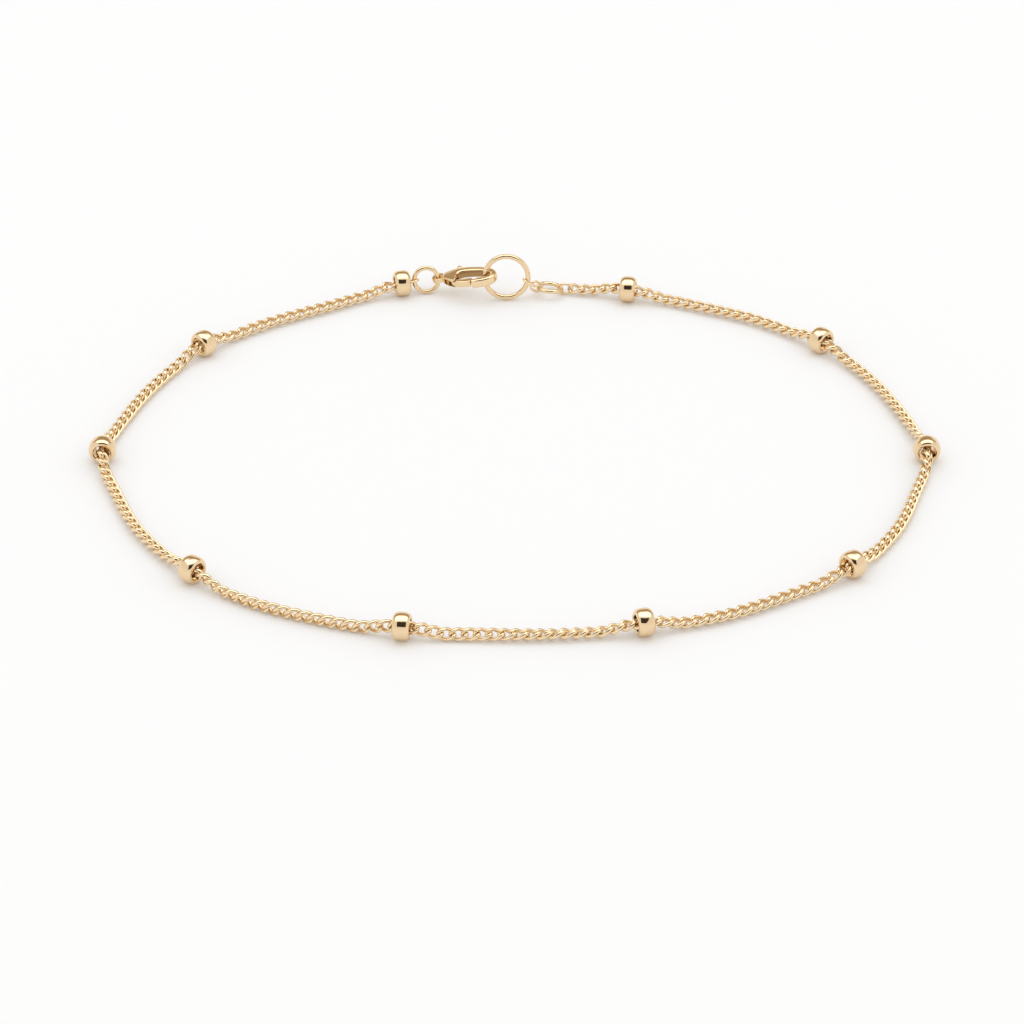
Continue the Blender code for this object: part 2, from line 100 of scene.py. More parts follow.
# How far one level of smoothing draws in a link's ring, and its wire of four corners
RING_DRAWN_IN = 0.975
WIRE_DRAWN_IN = 0.73

# Bead: a short barrel with flat ends and a wide chamfered bore
BEAD_DIAMETER = 2.10 * MM
BEAD_LENGTH = 1.26 * MM
BEAD_BAND = 0.22 * MM
BEAD_END_DIAMETER = 1.54 * MM
BEAD_BORE = 1.26 * MM
BEAD_BORE_CHAMFER = 0.07 * MM
BEAD_SIDES = 72
BEAD_ROUNDING_STEPS = 9
BEAD_CREASE = math.radians(30)

# Heights: a bead's centre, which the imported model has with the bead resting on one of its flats, and the
# chain's, level through a bead and then down to the surface, by the distance from the bead's middle
PACKED_BEAD_SIDES = 24
BEAD_CENTRE_HEIGHT = BEAD_DIAMETER / 2 * math.cos(math.pi / PACKED_BEAD_SIDES)
CHAIN_DIAMETER = 0.90 * MM
CHAIN_LIFT_OFF_SURFACE = 0.06 * MM
CHAIN_DROP_IN_BORE = 0.10 * MM
LEVEL_RUN = 0.75 * MM
DESCENT_END = 3.40 * MM

# Jump rings: outer diameter and wire, then the centre in millimetres, and lean, roll and turn in degrees
SMALL_RING = (2.34 * MM, 0.36 * MM)
LARGE_RING = (3.94 * MM, 0.42 * MM)
RINGS = {
    "small_ring_left": (SMALL_RING, (-7.20, 24.58, 1.13), (18.0, 0.0, 6.0)),
    "large_ring": (LARGE_RING, (-0.66, 23.57, 1.99), (9.6, 0.0, 0.0)),
    "small_ring_right": (SMALL_RING, (2.88, 24.20, 0.62), (101.0, -5.7, 0.0)),
}
RING_STEPS = 96
RING_WIRE_STEPS = 20
RING_CREASE = math.radians(60)

# The single oval links at the chain's ends
END_LINK_LENGTH = 1.38 * MM
END_LINK_WIDTH = 0.96 * MM
END_LINK_WIRE = 0.20 * MM
END_LINK_STEPS = 40
END_LINK_WIRE_STEPS = 12
END_LINK_PLAY = 0.06 * MM

# Where other pieces hold on to the rings, in degrees round the ring from its +X side
EYE_ON_SMALL_RING = 5
LINK_ON_LARGE_RING = -14
LINK_ON_SMALL_RING = 194

# A jump ring's seam: how wide it is, and how far its groove goes in as a share of the wire
SEAM_WIDTH = 0.012 * MM
SEAM_SHRINK = 0.93
SAME_DIRECTION = 1e-4

# Clasp, in its own flat outline: +X from the eye to the nose, +Y towards the spine and away from the lever
CLASP_THICKNESS = 0.76 * MM
CLASP_ROUNDING = 0.20 * MM
CLASP_TILT = 3.0
RING_WIRE_FROM_EYE = 3.98 * MM
ROUNDING_STEPS = 5
BAR_SIDES = 64
RIM_ANGLE = math.radians(60)
CLASP_CREASE = math.radians(40)
SAME_POINT = 0.001 * MM
SPECK = 0.002 * MM

# The clasp's eye, a flat ring thinned by a round scoop above and below
EYE_RADIUS = 0.58 * MM
EYE_HOLE_RADIUS = 0.35 * MM
EYE_THICKNESS = 0.36 * MM
EYE_ROUNDING = 0.08 * MM
EYE_SCOOP_RADIUS = 1.10 * MM
EYE_SCOOP_LENGTH = 4 * EYE_RADIUS
EYE_SCOOP_X = -0.10 * MM

# What is cut out of the claw. A second cut never shares a flat face with the first, which would leave a skin.
CUT_REACH = 2 * CLASP_THICKNESS
SECOND_CUT_REACH = 0.9 * CUT_REACH
GATE_GAP_START = 1.65 * MM
GATE_GAP_END = 3.21 * MM
GATE_GAP_SIDE = -0.40 * MM
TIP_ROUNDING = 0.06 * MM
NOTCH_START = 3.10 * MM
NOTCH_END = 3.56 * MM
NOTCH_OUTER = -0.88 * MM
NOTCH_INNER = 0.9 * GATE_GAP_SIDE
SLOT_START = 0.70 * MM
SLOT_END = 1.66 * MM
SLOT_HEIGHT = 0.44 * MM
SLOT_MOUTH_START = 1.01 * SLOT_START
SLOT_MOUTH_END = 1.98 * MM
SLOT_MOUTH_SIDE = 0.10 * MM

# The rivet and the lever that turns on it
HINGE_X = 1.10 * MM
HINGE_Y = -0.05 * MM
HINGE_PIN_RADIUS = 0.13 * MM
HINGE_CLEARANCE = 0.05 * MM
RIVET_LENGTH = 0.78 * MM
HUB_RADIUS = 0.28 * MM
LEVER_THICKNESS = 0.36 * MM
ARM_THICKNESS = 0.96 * LEVER_THICKNESS
STEM_THICKNESS = 0.92 * LEVER_THICKNESS
TONGUE_THICKNESS = 0.26 * MM
GATE_THICKNESS = 0.56 * MM
GATE_ROUNDING = 0.10 * MM
LEVER_ROUNDING = 0.05 * MM
THUMB_TAB_X = 1.422 * MM
THUMB_TAB_Y = 1.312 * MM
THUMB_TAB_RADIUS = 0.21 * MM
THUMB_TAB_ROUNDING = 0.12 * MM

# The hook's inside, with painted shade and a rougher finish, in millimetres: the opening's middle and half
# its size, and where the painted shade fades, by the squares of the share of the way out and of the height
HOOK_MIDDLE = 3.04
HOOK_HALF_LENGTH = 1.40
HOOK_HALF_WIDTH = 0.54
HOOK_SHADE_FADE_OUTWARDS = (1.2, 1.5)
HOOK_SHADE_FADE_UPWARDS = (0.07, 0.12)

# The claw's outer and inner edge in millimetres, all round: from the gate's opening round the nose, along
# the spine and past the eye, back to the opening, which is cut out afterwards
CLAW_ROWS = (
    ((2.70, -1.23), (2.85, -0.53)),
    ((3.20, -1.22), (3.20, -0.52)),
    ((3.70, -1.15), (3.52, -0.51)),
    ((4.13, -1.04), (3.80, -0.49)),
    ((4.47, -0.89), (4.04, -0.43)),
    ((4.73, -0.69), (4.22, -0.35)),
    ((4.91, -0.44), (4.36, -0.24)),
    ((5.00, -0.17), (4.43, -0.11)),
    ((5.01, 0.10), (4.44, 0.03)),
    ((4.95, 0.34), (4.40, 0.17)),
    ((4.81, 0.57), (4.29, 0.29)),
    ((4.60, 0.75), (4.12, 0.39)),
    ((4.30, 0.91), (3.90, 0.46)),
    ((3.92, 1.03), (3.62, 0.51)),
    ((3.50, 1.11), (3.30, 0.54)),
    ((3.05, 1.16), (2.96, 0.54)),
    ((2.60, 1.17), (2.60, 0.53)),
    ((2.18, 1.15), (2.28, 0.49)),
    ((1.78, 1.09), (2.02, 0.44)),
    ((1.40, 0.98), (1.85, 0.36)),
    ((1.05, 0.83), (1.74, 0.27)),
    ((0.74, 0.64), (1.68, 0.17)),
    ((0.48, 0.43), (1.65, 0.09)),
    ((0.33, 0.18), (1.64, 0.02)),
    ((0.33, -0.18), (1.64, -0.06)),
    ((0.48, -0.41), (1.65, -0.13)),
    ((0.74, -0.61), (1.68, -0.20)),
    ((1.05, -0.81), (1.74, -0.29)),
    ((1.40, -0.98), (1.88, -0.38)),
    ((1.80, -1.11), (2.12, -0.46)),
    ((2.24, -1.20), (2.46, -0.52)),
)

# The lever's parts, in the same way: its arm in the slot, its gate beside it, the tongue under the hook's
# tip, and the stem of the tab that the thumb draws back
ARM_ROWS = (
    ((1.02, -0.28), (1.36, -0.18)),
    ((1.16, -0.58), (1.44, -0.40)),
    ((1.34, -0.86), (1.62, -0.66)),
    ((1.60, -1.04), (1.90, -0.72)),
    ((2.00, -1.07), (2.10, -0.72)),
)
GATE_ROWS = (
    ((1.76, -1.08), (1.76, -0.70)),
    ((2.08, -1.12), (2.04, -0.68)),
    ((2.30, -1.13), (2.28, -0.57)),
    ((2.60, -1.13), (2.60, -0.51)),
    ((3.05, -1.10), (3.11, -0.51)),
)
TONGUE_ROWS = (
    ((2.60, -0.82), (2.60, -0.68)),
    ((3.45, -0.80), (3.45, -0.68)),
)
STEM_ROWS = (
    ((0.97, -0.02), (1.23, -0.08)),
    ((1.14, 0.62), (1.38, 0.56)),
    ((1.29, 1.28), (1.55, 1.22)),
)

# The chain's route on the surface in millimetres, from the ring at the clasp's eye round by the left, the
# front and the right. A bead's row also gives how far the bead is turned from the chain, in degrees.
ROUTE = (
    ("chain", -8.19, 24.48, 0),
    ("bead", -9.17, 24.20, -6),
    ("chain", -11.9, 23.13, 0),
    ("chain", -15.1, 21.38, 0),
    ("chain", -20.2, 18.48, 0),
    ("bead", -24.73, 14.69, 0),
    ("chain", -27.7, 10.28, 0),
    ("chain", -29.9, 5.18, 0),
    ("bead", -31.50, -1.07, 0),
    ("chain", -30.1, -6.37, 0),
    ("chain", -27.7, -12.02, 0),
    ("bead", -23.59, -17.41, 6),
    ("chain", -19.35, -20.77, 0),
    ("chain", -13.85, -23.17, 0),
    ("bead", -8.08, -24.69, 0),
    ("chain", -2.3, -24.97, 0),
    ("chain", 3.5, -24.87, 0),
    ("bead", 9.27, -24.19, 6),
    ("chain", 15.0, -22.62, 0),
    ("chain", 20.3, -19.80, 0),
    ("bead", 24.77, -16.75, -6),
    ("chain", 28.3, -11.62, 0),
    ("chain", 30.3, -6.12, 0),
    ("bead", 31.50, -1.05, 0),
    ("chain", 29.9, 5.38, 0),
    ("chain", 27.6, 10.78, 0),
    ("bead", 24.43, 15.16, 0),
    ("chain", 19.7, 19.08, 0),
    ("chain", 14.5, 21.58, 0),
    ("chain", 11.9, 22.58, 0),
    ("bead", 9.24, 23.23, 6),
    ("chain", 7.3, 23.83, 0),
    ("chain", 4.92, 24.18, 0),
)
ROUTE_STEPS = 24

# How far the chain is rolled about its own line, in degrees, by the number of the bead last passed
CHAIN_ROLLS = (
    (1.0, 170),
    (1.85, 168),
    (2.15, 132),
    (2.85, 132),
    (3.15, 166),
    (3.9, 158),
    (4.1, 110),
    (4.5, 102),
    (4.9, 94),
    (5.0, 68),
    (5.2, 58),
    (5.35, 30),
    (5.5, 0),
    (5.65, -12),
    (6.0, -6),
    (6.1, 3),
    (6.9, 5),
    (7.15, 48),
    (8.0, 56),
    (8.3, 22),
    (9.0, 5),
    (10.0, -10),
    (11.0, -10),
)


def select_only(*objects):
    for obj in bpy.context.selected_objects:
        obj.select_set(False)
    for obj in objects:
        obj.select_set(True)
    bpy.context.view_layer.objects.active = objects[0] if objects else None


def just_added(name):
    obj = bpy.context.object
    obj.name = name
    obj.data.name = name
    return obj


def settle(obj, there=None):
    """Moves the object's place, or the given one, into its mesh, and leaves the object at the origin."""
    bpy.context.view_layer.update()
    obj.data.transform(obj.matrix_world if there is None else there)
    obj.matrix_world = Matrix.Identity(4)


class Editing:
    """Edit mode on one object, for as long as the block lasts."""

    def __init__(self, obj):
        self.obj = obj

    def __enter__(self):
        select_only(self.obj)
        bpy.ops.object.mode_set(mode="EDIT")
        return self

    def __exit__(self, *_):
        bpy.ops.object.mode_set(mode="OBJECT")

    def pick(self, kind, test):
        """Selects only the points, edges or faces that pass the test."""
        bpy.ops.mesh.select_mode(type={"verts": "VERT", "edges": "EDGE", "faces": "FACE"}[kind])
        bpy.ops.mesh.select_all(action="DESELECT")
        shape = bmesh.from_edit_mesh(self.obj.data)
        for part in getattr(shape, kind):
            if test(part):
                part.select_set(True)
        shape.select_flush_mode()
        bmesh.update_edit_mesh(self.obj.data)


def apply_modifier(obj, kind, **settings):
    """Adds a modifier with those settings and applies it."""
    select_only(obj)
    modifier = obj.modifiers.new(kind.lower(), kind)
    for name, value in settings.items():
        setattr(modifier, name, value)
    bpy.ops.object.modifier_apply(modifier=modifier.name)


def place(piece, gold, slot, body, node):
    """Gives a finished piece its metal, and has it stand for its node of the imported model."""
    piece.data.materials.clear()
    piece.data.materials.append(gold)
    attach(piece, body)
    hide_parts(node)


# Shading


class Shade:
    """A number in a shader. Sums and products on it add Math nodes."""

    def __init__(self, sheet, socket):
        self.sheet = sheet
        self.socket = socket

    def _math(self, operation, first, second):
        return self.sheet.add("ShaderNodeMath", {"operation": operation}, {0: first, 1: second})

    def __add__(self, other):
        return self._math("ADD", self, other)

    def __radd__(self, other):
        return self._math("ADD", other, self)

    def __sub__(self, other):
        return self._math("SUBTRACT", self, other)

    def __rsub__(self, other):
        return self._math("SUBTRACT", other, self)

    def __mul__(self, other):
        return self._math("MULTIPLY", self, other)

    def __rmul__(self, other):
        return self._math("MULTIPLY", other, self)


class Sheet:
    """The node tree of one material, or of the room."""

    def __init__(self, owner):
        owner.use_nodes = True
        self.tree = owner.node_tree

    def feed(self, node, sockets):
        for name, value in sockets.items():
            if isinstance(value, Shade):
                self.tree.links.new(value.socket, node.inputs[name])
            else:
                node.inputs[name].default_value = value

    def add(self, kind, settings, sockets, output=0):
        """Adds a node: its settings first, then the values or links of its sockets."""
        node = self.tree.nodes.new(kind)
        for name, value in settings.items():
            if name == "stops":
                self.set_stops(node.color_ramp, value)
            else:
                setattr(node, name, value)
        self.feed(node, sockets)
        return Shade(self, node.outputs[output])

    @staticmethod
    def set_stops(ramp, stops):
        while len(ramp.elements) < len(stops):
            ramp.elements.new(0.5)
        for element, (position, colour) in zip(ramp.elements, stops):
            element.position = position
            element.color = (*colour, 1.0)

    def over_object(self, per_millimetre=(1.0, 1.0, 1.0)):
        """The piece's own coordinates, in millimetres, stretched or squeezed along each axis."""
        coordinates = self.add("ShaderNodeTexCoord", {}, {}, "Object")
        scale = [share / MM for share in per_millimetre]
        return self.add("ShaderNodeMapping", {}, {"Vector": coordinates, "Scale": scale})

    def noise(self, coordinates, scale, detail):
        sockets = {"Vector": coordinates, "Scale": scale, "Detail": detail}
        return self.add("ShaderNodeTexNoise", {}, sockets)

    def mix(self, factor, first, second):
        """A colour between two others, each of which is a shade or plain red, green and blue."""
        settings = {"data_type": "RGBA"}
        ends = [colour if isinstance(colour, Shade) else (*colour, 1.0) for colour in (first, second)]
        return self.add("ShaderNodeMix", settings, {0: factor, 6: ends[0], 7: ends[1]}, 2)

    def falling(self, value, start, end):
        """One up to the start, easing down to nothing at the end."""
        sockets = {"Value": value, "From Min": start, "From Max": end, "To Min": 1.0, "To Max": 0.0}
        return self.add("ShaderNodeMapRange", {"interpolation_type": "SMOOTHSTEP"}, sockets)

    def bump(self, height, rise):
        """A surface raised by up to that rise, in metres."""
        return self.add("ShaderNodeBump", {}, {"Height": height, "Distance": rise})

    def shine(self, **sockets):
        """Feeds the shader's sockets, each named with underlines for its spaces."""
        spaced = {name.replace("_", " "): value for name, value in sockets.items()}
        self.feed(self.tree.nodes["Principled BSDF"], spaced)


def new_material(name):
    material = bpy.data.materials.new(name)
    return material, Sheet(material)


def bead_gold():
    """Bright gold under a mirror polish, with the faint waves of the rolling and hair-fine marks."""
    material, sheet = new_material("mirror_gold")
    around = sheet.over_object()
    waves = sheet.noise(around, 1.3, 2.0)
    marks = sheet.noise(sheet.over_object((6.0, 1.0, 6.0)), 9.0, 3.0)
    tone = sheet.noise(around, 0.7, 1.0)
    sheet.shine(
        Base_Color=sheet.mix(tone, *BEAD_TONES),
        Metallic=1.0,
        Roughness=0.035 + marks * 0.05,
        Normal=sheet.bump(waves + marks * 0.04, 0.006 * MM),
    )
    return material


def chain_gold():
    """Drawn wire, a little deeper in tone and softer in polish than the beads."""
    material, sheet = new_material("drawn_wire_gold")
    around = sheet.over_object()
    tone = sheet.noise(around, 1.6, 2.0)
    draw_lines = sheet.noise(around, 14.0, 3.0)
    sheet.shine(
        Base_Color=sheet.mix(tone, *WIRE_TONES),
        Metallic=1.0,
        Roughness=0.10 + draw_lines * 0.12,
        Normal=sheet.bump(draw_lines, 0.0015 * MM),
    )
    return material


def painted_shade_in_hook(sheet):
    """How far a place lies within the hook's opening, which gets painted shade and a rougher finish."""
    to_clasp = clasp_frame().inverted()
    sockets = {
        "Vector": sheet.add("ShaderNodeTexCoord", {}, {}, "Object"),
        "Scale": (1 / MM, 1 / MM, 1 / MM),
        "Rotation": to_clasp.to_euler(),
        "Location": to_clasp.translation / MM,
    }
    place_on_clasp = sheet.add("ShaderNodeMapping", {}, sockets)
    along, across, up = (
        sheet.add("ShaderNodeSeparateXYZ", {}, {"Vector": place_on_clasp}, axis) for axis in "XYZ"
    )
    along = (along - HOOK_MIDDLE) * (1 / HOOK_HALF_LENGTH)
    across = across * (1 / HOOK_HALF_WIDTH)
    from_middle = along * along + across * across
    return sheet.falling(from_middle, *HOOK_SHADE_FADE_OUTWARDS) * sheet.falling(up * up, *HOOK_SHADE_FADE_UPWARDS)


def clasp_gold(name, with_painted_hook_shade):
    """Cast and tumbled gold with soft waves, rougher inside the hook, if the piece has one, with painted
    shade there.
    """
    material, sheet = new_material(name)
    around = sheet.over_object()
    waves = sheet.noise(around, 2.2, 2.0)
    grain = sheet.noise(around, 16.0, 3.0)
    tone = sheet.noise(around, 0.9, 1.0)
    colour = sheet.mix(tone, *CAST_TONES)
    roughness = 0.08 + grain * 0.10
    if with_painted_hook_shade:
        # Painted shade: the hook's inside is darkened to brown for the shadow between its walls, and made
        # rougher
        inside = painted_shade_in_hook(sheet)
        colour = sheet.mix(inside, colour, HOOK_PAINTED_SHADE_TONE)
        roughness = roughness + inside * 0.25
    sheet.shine(
        Base_Color=colour,
        Metallic=1.0,
        Roughness=roughness,
        Normal=sheet.bump(waves + grain * 0.15, 0.006 * MM),
    )
    return material


# Route and chain


def smooth_through(points, steps):
    """Points of a Catmull-Rom curve through the given points, with that many steps for each span."""
    found = []
    for index in range(len(points) - 1):
        here = points[index]
        following = points[index + 1]
        before = points[index - 1] if index > 0 else here * 2 - following
        after = points[index + 2] if index + 2 < len(points) else following * 2 - here
        for step in range(steps):
            t = step / steps
            found.append(
                0.5 * (
                    2 * here
                    + (following - before) * t
                    + (2 * before - 5 * here + 4 * following - after) * t ** 2
                    + (3 * here - before - 3 * following + after) * t ** 3
                )
            )
    found.append(points[-1].copy())
    return found


class Route:
    """The chain's path, measured along its length, with the beads' places on it."""

    def __init__(self, rows):
        corners = [Vector((x, y, 0.0)) * MM for _, x, y, _ in rows]
        self.points = smooth_through(corners, ROUTE_STEPS)
        self.lengths = [0.0]
        for start, end in zip(self.points, self.points[1:]):
            self.lengths.append(self.lengths[-1] + (end - start).length)
        self.length = self.lengths[-1]
        self.beads = [
            (self.lengths[index * ROUTE_STEPS], turn)
            for index, (kind, _, _, turn) in enumerate(rows)
            if kind == "bead"
        ]

    def flat(self, distance):
        index = 0
        while index < len(self.lengths) - 2 and self.lengths[index + 1] < distance:
            index += 1
        span = self.lengths[index + 1] - self.lengths[index]
        share = (distance - self.lengths[index]) / span
        return self.points[index].lerp(self.points[index + 1], share)

    def heading(self, distance):
        """The route's direction at that distance, as an angle from +X."""
        reach = CHAIN_DIAMETER / 2
        ahead = self.flat(distance + reach)
        behind = self.flat(distance - reach)
        return math.atan2(ahead.y - behind.y, ahead.x - behind.x)

    def height(self, distance):
        """The chain's centre is held up in a bead's bore and lies on the surface a little way from it."""
        on_surface = CHAIN_DIAMETER / 2 + CHAIN_LIFT_OFF_SURFACE
        in_bore = BEAD_CENTRE_HEIGHT - CHAIN_DROP_IN_BORE
        away = min(abs(distance - bead) for bead, _ in self.beads)
        share = (away - LEVEL_RUN) / (DESCENT_END - LEVEL_RUN)
        share = min(max(share, 0.0), 1.0)
        eased = share * share * (3 - 2 * share)
        return in_bore + (on_surface - in_bore) * eased

    def point(self, distance):
        place = self.flat(distance)
        place.z = self.height(distance)
        return place

    def bead_number(self, distance):
        """The number of the bead last passed, with the share of the way to the next one as a fraction."""
        ends = [place for place, _ in self.beads] + [self.length]
        index = max(sum(place <= distance for place in ends[:-1]) - 1, 0)
        return 1 + index + (distance - ends[index]) / (ends[index + 1] - ends[index])


def chain_roll(bead_number):
    """The chain's roll there, eased from one row of the table to the next."""
    for (start, low), (end, high) in zip(CHAIN_ROLLS, CHAIN_ROLLS[1:]):
        if bead_number <= end:
            share = min(max((bead_number - start) / (end - start), 0.0), 1.0)
            eased = share * share * (3 - 2 * share)
            return math.radians(low + (high - low) * eased)
    return math.radians(CHAIN_ROLLS[-1][1])


def squared_off(share):
    """A place on a circle, as a share of its radius, moved to where the link's squarish oval has it."""
    return math.copysign(abs(share) ** (2 / LINK_SQUARENESS), share)


def model_curb_link():
    """One link along X: a ring of wire drawn out into a squarish oval, then twisted about its length."""
    ring_radius = (LINK_WIDTH - LINK_WIRE) / 2 / RING_DRAWN_IN
    select_only()
    bpy.ops.mesh.primitive_torus_add(
        major_segments=LINK_STEPS,
        minor_segments=LINK_WIRE_CORNERS,
        major_radius=ring_radius,
        minor_radius=LINK_WIRE / 2 / WIRE_DRAWN_IN,
    )
    link = just_added("curb_link")
    half_length = (LINK_LENGTH - LINK_WIRE) / 2 / RING_DRAWN_IN
    with Editing(link) as edit:
        for step in range(LINK_STEPS):
            along = math.cos(math.tau * step / LINK_STEPS)
            across = math.sin(math.tau * step / LINK_STEPS)
            outwards = (
                half_length * squared_off(along) - ring_radius * along,
                ring_radius * squared_off(across) - ring_radius * across,
                0,
            )
            edit.pick("verts", lambda vert: vert.index // LINK_WIRE_CORNERS == step)
            bpy.ops.transform.translate(value=outwards)
        bpy.ops.mesh.select_all(action="SELECT")
        bpy.ops.transform.resize(value=(1, 1, LINK_WIRE_DEPTH))
    apply_modifier(link, "SIMPLE_DEFORM", deform_method="TWIST", deform_axis="X", angle=LINK_TWIST)
    link.data.shade_smooth()
    return link


def link_frame(route, distance, roll):
    """Where a link stands that far along the route: X along the chain, rolled about it."""
    reach = LINK_PITCH / 2
    ahead = (route.point(distance + reach) - route.point(distance - reach)).normalized()
    level = Vector((0, 0, 1)).cross(ahead).normalized()
    up = ahead.cross(level)
    side = level * math.cos(roll) + up * math.sin(roll)
    there = Matrix((ahead, side, ahead.cross(side))).transposed().to_4x4()
    there.translation = route.point(distance)
    return there


def add_chain(route, gold):
    """The curb links, joined into one piece for each stretch between beads."""
    link = model_curb_link()
    draw = random.Random(LINK_JITTER_SEED)
    last = route.length - LAST_LINK_BEFORE_END
    count = round((last - FIRST_LINK_AT) / LINK_PITCH) + 1
    pitch = (last - FIRST_LINK_AT) / (count - 1)
    stretches = {}
    for index in range(count):
        distance = FIRST_LINK_AT + index * pitch
        number = route.bead_number(distance)
        roll = chain_roll(number) + draw.uniform(-LINK_JITTER, LINK_JITTER)
        copy = bpy.data.objects.new("curb_link", link.data.copy())
        copy.data.transform(link_frame(route, distance, roll))
        bpy.context.scene.collection.objects.link(copy)
        stretches.setdefault(int(number), []).append(copy)
    bpy.data.objects.remove(link)
    for number, links in stretches.items():
        select_only(*links)
        bpy.ops.object.join()
        stretch = just_added(f"curb_chain_{number:02d}")
        smoothing = stretch.modifiers.new("smoothing", "SUBSURF")
        smoothing.levels = 1
        smoothing.render_levels = 1
        place(stretch, gold, "chain_gold", "bracelet", f"chain_{number:02d}")


# Beads


def bead_profile():
    """The barrel's section as (distance along the axis, radius), from the bore's one end to its other."""
    half = BEAD_LENGTH / 2
    band = BEAD_BAND / 2
    bore = BEAD_BORE / 2
    end_radius = BEAD_END_DIAMETER / 2
    rounding = BEAD_DIAMETER / 2 - end_radius
    right = [(half - BEAD_BORE_CHAMFER, bore), (half, bore + BEAD_BORE_CHAMFER)]
    for step in range(BEAD_ROUNDING_STEPS + 1):
        angle = math.pi / 2 * (1 - step / BEAD_ROUNDING_STEPS)
        right.append((band + (half - band) * math.sin(angle), end_radius + rounding * math.cos(angle)))
    left = [(-along, radius) for along, radius in reversed(right)]
    return right + left


def model_bead():
    """A barrel along X, drawn out of one circle and closed through its bore."""
    profile = bead_profile()
    along, radius = profile[0]
    select_only()
    bpy.ops.mesh.primitive_circle_add(
        vertices=BEAD_SIDES, radius=radius, location=(along, 0, 0), rotation=(0, math.pi / 2, 0)
    )
    bead = just_added("bead")
    settle(bead)
    with Editing(bead) as edit:
        bpy.ops.mesh.select_all(action="SELECT")
        for (along, radius), (next_along, next_radius) in zip(profile, profile[1:]):
            bpy.ops.mesh.extrude_edges_move(
                TRANSFORM_OT_translate={"value": (next_along - along, 0, 0)}
            )
            growth = next_radius / radius
            bpy.ops.transform.resize(value=(1, growth, growth), center_override=(next_along, 0, 0))
        edit.pick("edges", lambda edge: edge.is_boundary)
        bpy.ops.mesh.bridge_edge_loops()
        bpy.ops.mesh.select_all(action="SELECT")
        bpy.ops.mesh.normals_make_consistent(inside=False)
    bpy.ops.object.shade_smooth_by_angle(angle=BEAD_CREASE)
    return bead


def add_beads(route, gold):
    bead = model_bead()
    for number, (distance, turn) in enumerate(route.beads, 1):
        there = Matrix.Rotation(route.heading(distance) + math.radians(turn), 4, "Z")
        there.translation = route.flat(distance)
        there.translation.z = BEAD_CENTRE_HEIGHT
        copy = bpy.data.objects.new(f"satellite_bead_{number:02d}", bead.data.copy())
        copy.data.transform(there)
        bpy.context.scene.collection.objects.link(copy)
        place(copy, gold, "bead_gold", "bracelet", f"bead_{number:02d}")
    bpy.data.objects.remove(bead)


# Rings and end links


def ring_frame(name):
    """A ring's place in the world. The ring lies in the frame's XZ plane."""
    _, centre, (lean, roll, turn) = RINGS[name]
    turned = Matrix.Rotation(math.radians(turn), 3, "Z")
    leaned = Matrix.Rotation(math.radians(-lean), 3, "X")
    rolled = Matrix.Rotation(math.radians(-roll), 3, "Y")
    there = (rolled @ turned @ leaned).to_4x4()
    there.translation = Vector(centre) * MM
    return there


def on_ring(name, degrees):
    """The centre of a ring's wire and the wire's direction, that far round the ring from its +X side."""
    diameter, wire = RINGS[name][0]
    there = ring_frame(name)
    angle = math.radians(degrees)
    radius = (diameter - wire) / 2
    centre = there @ Vector((math.cos(angle) * radius, 0.0, math.sin(angle) * radius))
    return centre, there.to_3x3() @ Vector((-math.sin(angle), 0.0, math.cos(angle)))


def add_ring(name, seam_step, gold):
    """A jump ring, bent from round wire, with the fine seam where its two ends meet."""
    diameter, wire = RINGS[name][0]
    select_only()
    bpy.ops.mesh.primitive_torus_add(
        major_segments=RING_STEPS,
        minor_segments=RING_WIRE_STEPS,
        major_radius=(diameter - wire) / 2,
        minor_radius=wire / 2,
    )
    ring = just_added(name.replace("small_ring", "jump_ring").replace("large_ring", "jump_ring_large"))
    angle = math.tau * seam_step / RING_STEPS
    seam_centre = Vector((math.cos(angle), math.sin(angle), 0.0)) * (diameter - wire) / 2

    def at_seam(vert):
        off_line = vert.co.normalized().cross(seam_centre.normalized()).z
        return abs(off_line) < SAME_DIRECTION and vert.co.dot(seam_centre) > 0

    with Editing(ring) as edit:
        edit.pick("edges", lambda edge: all(v.index // RING_WIRE_STEPS == seam_step for v in edge.verts))
        bpy.ops.mesh.bevel(offset=SEAM_WIDTH, segments=2, affect="EDGES")
        edit.pick("verts", at_seam)
        bpy.ops.transform.resize(value=(SEAM_SHRINK,) * 3, center_override=seam_centre)
    bpy.ops.object.shade_smooth_by_angle(angle=RING_CREASE)
    settle(ring, ring_frame(name) @ Matrix.Rotation(math.pi / 2, 4, "X"))
    place(ring, gold, "clasp_gold", "bracelet", name)


def add_end_link(number, held_end, direction, normal, gold):
    """An oval link whose opening starts at held_end and runs along direction, square to the normal."""
    ahead = direction.normalized()
    up = (normal - ahead * normal.dot(ahead)).normalized()
    there = Matrix((ahead, up.cross(ahead), up)).transposed().to_4x4()
    there.translation = held_end + ahead * (END_LINK_LENGTH / 2 - END_LINK_WIRE)
    select_only()
    bpy.ops.mesh.primitive_torus_add(
        major_segments=END_LINK_STEPS,
        minor_segments=END_LINK_WIRE_STEPS,
        major_radius=(END_LINK_WIDTH - END_LINK_WIRE) / 2,
        minor_radius=END_LINK_WIRE / 2,
        rotation=(0, 0, math.pi / END_LINK_STEPS),
    )
    link = just_added(f"oval_link_{number:02d}")
    settle(link)
    with Editing(link) as edit:
        for side in (-1, 1):
            edit.pick("verts", lambda vert: vert.co.x * side > 0)
            bpy.ops.transform.translate(value=(side * (END_LINK_LENGTH - END_LINK_WIDTH) / 2, 0, 0))
    link.data.shade_smooth()
    settle(link, there)
    place(link, gold, "chain_gold", "bracelet", f"end_link_{number:02d}")


